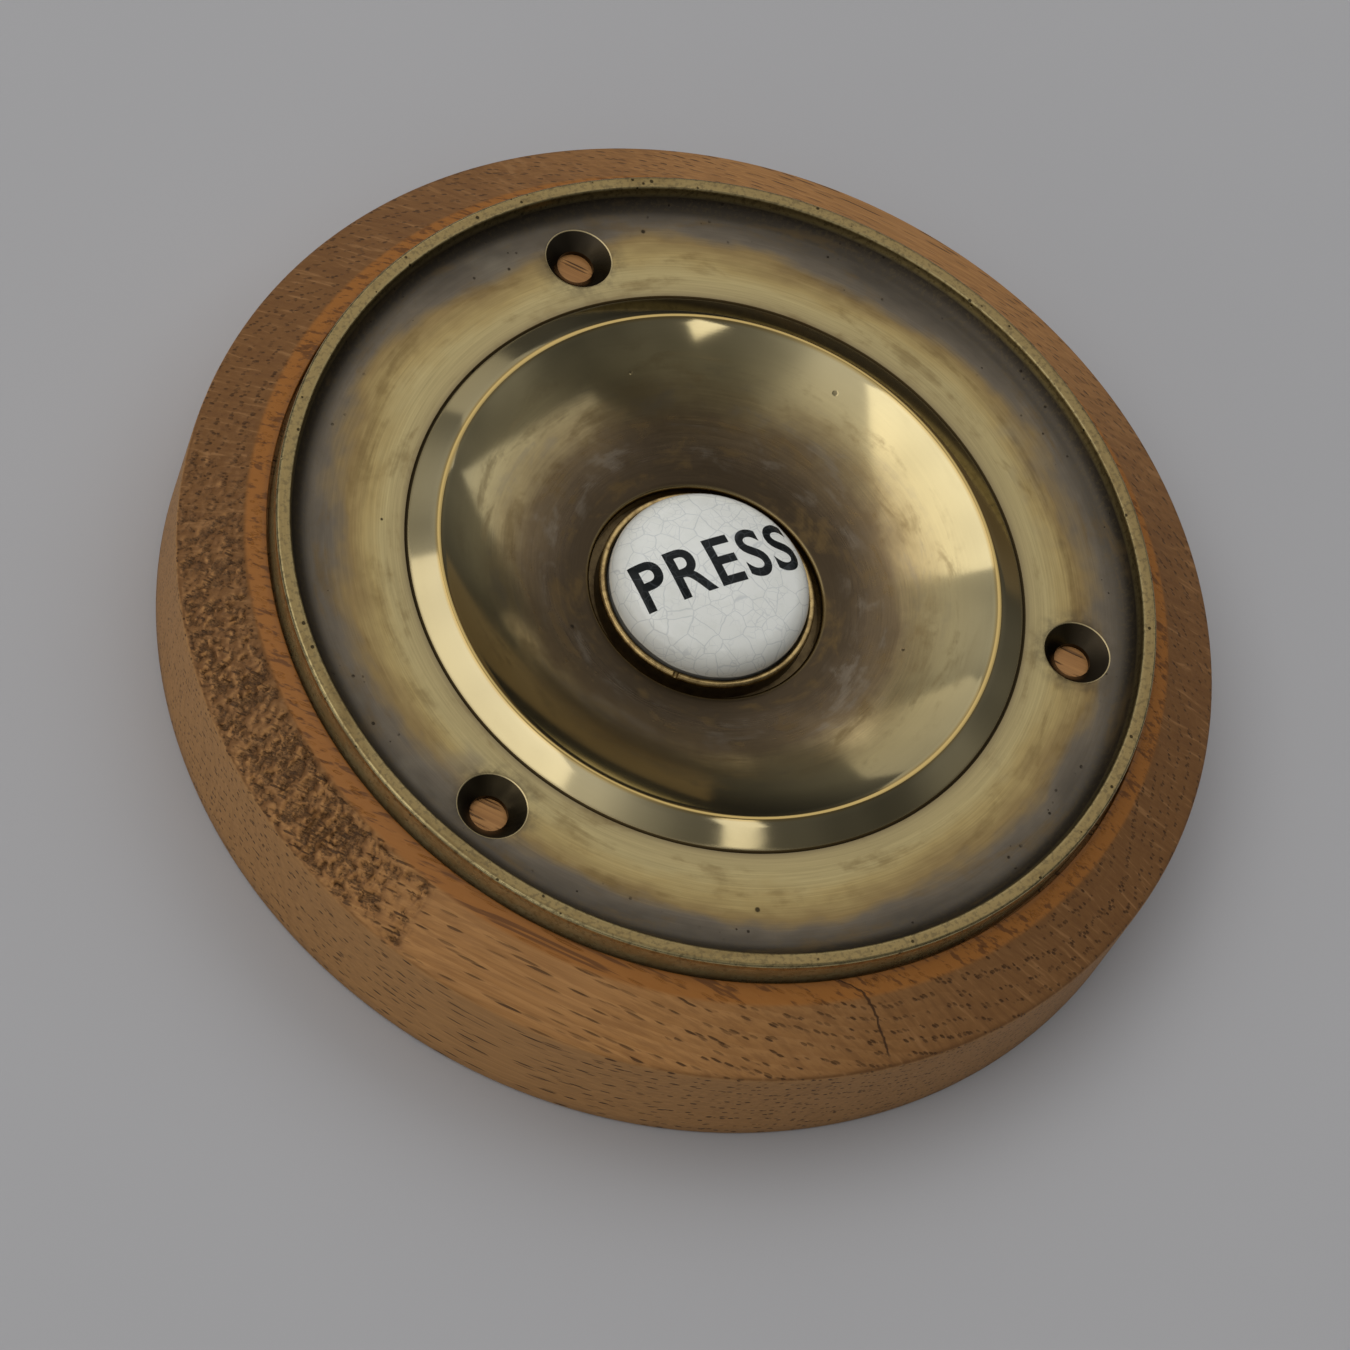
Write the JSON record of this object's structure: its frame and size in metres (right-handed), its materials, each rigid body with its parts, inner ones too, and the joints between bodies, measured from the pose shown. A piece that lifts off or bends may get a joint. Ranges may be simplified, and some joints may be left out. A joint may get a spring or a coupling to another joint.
{
  "type": "door-bell push",
  "caption": "Round door-bell push: turned brass plate with raised rim, beaded dish and a sprung porcelain button, on a turned oak back block.",
  "frame": {"origin": "centre of the oak block's back face, which lies on the wall", "axes": "+Z out of the wall along the button's axis, +Y up the door, towards the plate's single top screw hole, +X to the right as the button is read"},
  "size_m": [0.113, 0.113, 0.021],
  "materials": {
    "oak": "bare turned oak with open grain",
    "aged_brass": "polished high spots, grey-brown patina in the hollows",
    "bezel_brass": "dull worn brass",
    "porcelain": "crackled white glaze",
    "ebonite": "satin black",
    "spring_bronze": "rolled phosphor bronze",
    "contact_brass": "turned brass",
    "contact_silver": "dull silver"
  },
  "bodies": {
    "push_body": {"oak_pattress": "oak", "face_plate": "aged_brass", "contact_base": "ebonite", "contact_leaf": "spring_bronze", "contact_strip": "contact_brass", "contact_point": "contact_silver", "terminal_screws": "contact_brass", "terminal_washers": "contact_brass", "terminal_nuts": "contact_brass", "base_screws": "contact_brass"},
    "button": {"button_cup": "bezel_brass", "porcelain_insert": "porcelain", "retaining_washer": "bezel_brass", "push_pip": "ebonite"}
  },
  "joints": [
    {"name": "button_press", "type": "slide", "parent": "push_body", "child": "button", "axis": [0, 0, -1], "range_m": [0, 0.002], "stiffness_N_per_m": 1200, "springref_m": -0.001, "deforming": ["contact_leaf"]}
  ]
}
